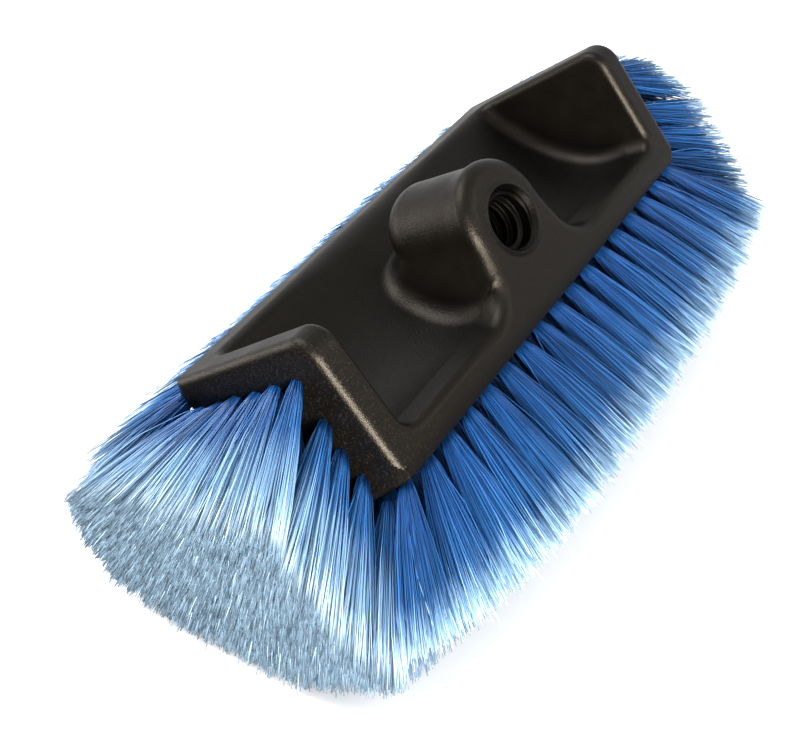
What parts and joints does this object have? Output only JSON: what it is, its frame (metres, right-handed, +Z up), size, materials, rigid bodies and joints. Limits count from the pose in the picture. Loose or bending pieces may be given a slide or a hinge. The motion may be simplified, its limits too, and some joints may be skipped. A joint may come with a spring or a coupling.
{
  "type": "car wash brush head",
  "caption": "Gabled moulded brush head with a curved trough, an angled screw-in pole socket in a bell-shaped boss, and bristle tufts fanning from the sides, ends and underside",
  "frame": {"origin": "on the surface that the bristle tips stand on, under the middle of the brush", "axes": "+X along the block, -Y towards the side that the pole socket faces, +Z up"},
  "size_m": [0.289, 0.1802, 0.1167],
  "materials": {
    "moulded_black_plastic": "fine spark-eroded grain, satin",
    "blue_bristle": "filament tufts, blue at the root and pale at the flagged tip"
  },
  "bodies": {
    "root": {"brush_block": "moulded_black_plastic", "front_side_upper_tufts": "blue_bristle", "front_side_lower_tufts": "blue_bristle", "rear_side_upper_tufts": "blue_bristle", "rear_side_lower_tufts": "blue_bristle", "left_end_rear_gable_tufts": "blue_bristle", "left_end_front_gable_tufts": "blue_bristle", "left_end_inner_1_tufts": "blue_bristle", "left_end_inner_2_tufts": "blue_bristle", "left_end_inner_3_tufts": "blue_bristle", "right_end_rear_gable_tufts": "blue_bristle", "right_end_front_gable_tufts": "blue_bristle", "right_end_inner_1_tufts": "blue_bristle", "right_end_inner_2_tufts": "blue_bristle", "right_end_inner_3_tufts": "blue_bristle", "underside_row_1_tufts": "blue_bristle", "underside_row_2_tufts": "blue_bristle", "underside_row_3_tufts": "blue_bristle", "underside_row_4_tufts": "blue_bristle", "underside_row_5_tufts": "blue_bristle"}
  },
  "joints": []
}
